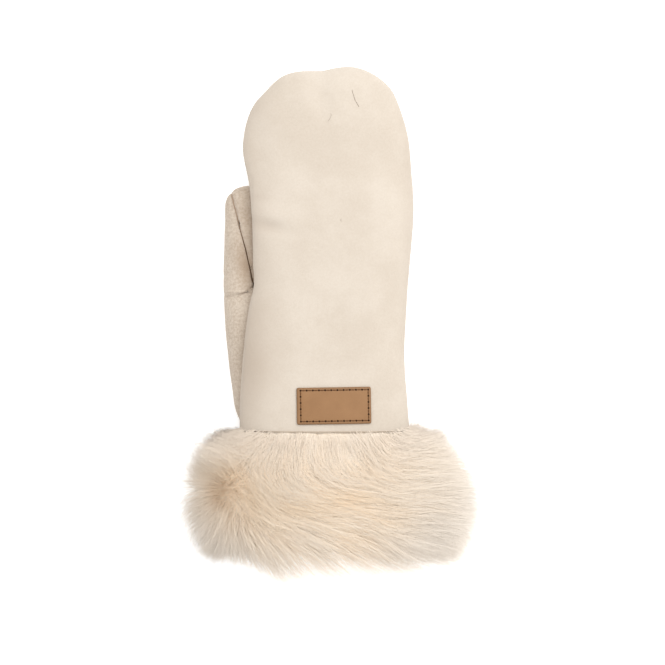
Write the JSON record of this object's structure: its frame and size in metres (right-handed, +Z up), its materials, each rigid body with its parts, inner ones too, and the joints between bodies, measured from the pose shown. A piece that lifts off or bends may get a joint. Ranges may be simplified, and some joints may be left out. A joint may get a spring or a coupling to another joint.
{
  "type": "shearling mitten with fur cuff",
  "caption": "Right-hand shearling mitten lying on its palm: suede back and palm, folded thumb, wide long-haired sheepskin cuff and a small leather label.",
  "frame": {"origin": "on the palm's flat underside, under the middle of the hand", "axes": "+Y runs to the fingertips, +Z is up out of the back of the hand, and -X is the thumb's side"},
  "size_m": [0.2227, 0.3602, 0.0841],
  "materials": {
    "suede": "cream suede with a short, slightly uneven nap",
    "wool": "long soft sheepskin hair, darker at the roots",
    "label_leather": "smooth tan leather with a stitched border"
  },
  "bodies": {
    "root": {"back_panel": "suede", "palm_panel": "suede", "thumb_outer": "suede", "thumb_inner": "suede", "fur_cuff": "wool", "label": "label_leather"}
  },
  "joints": []
}
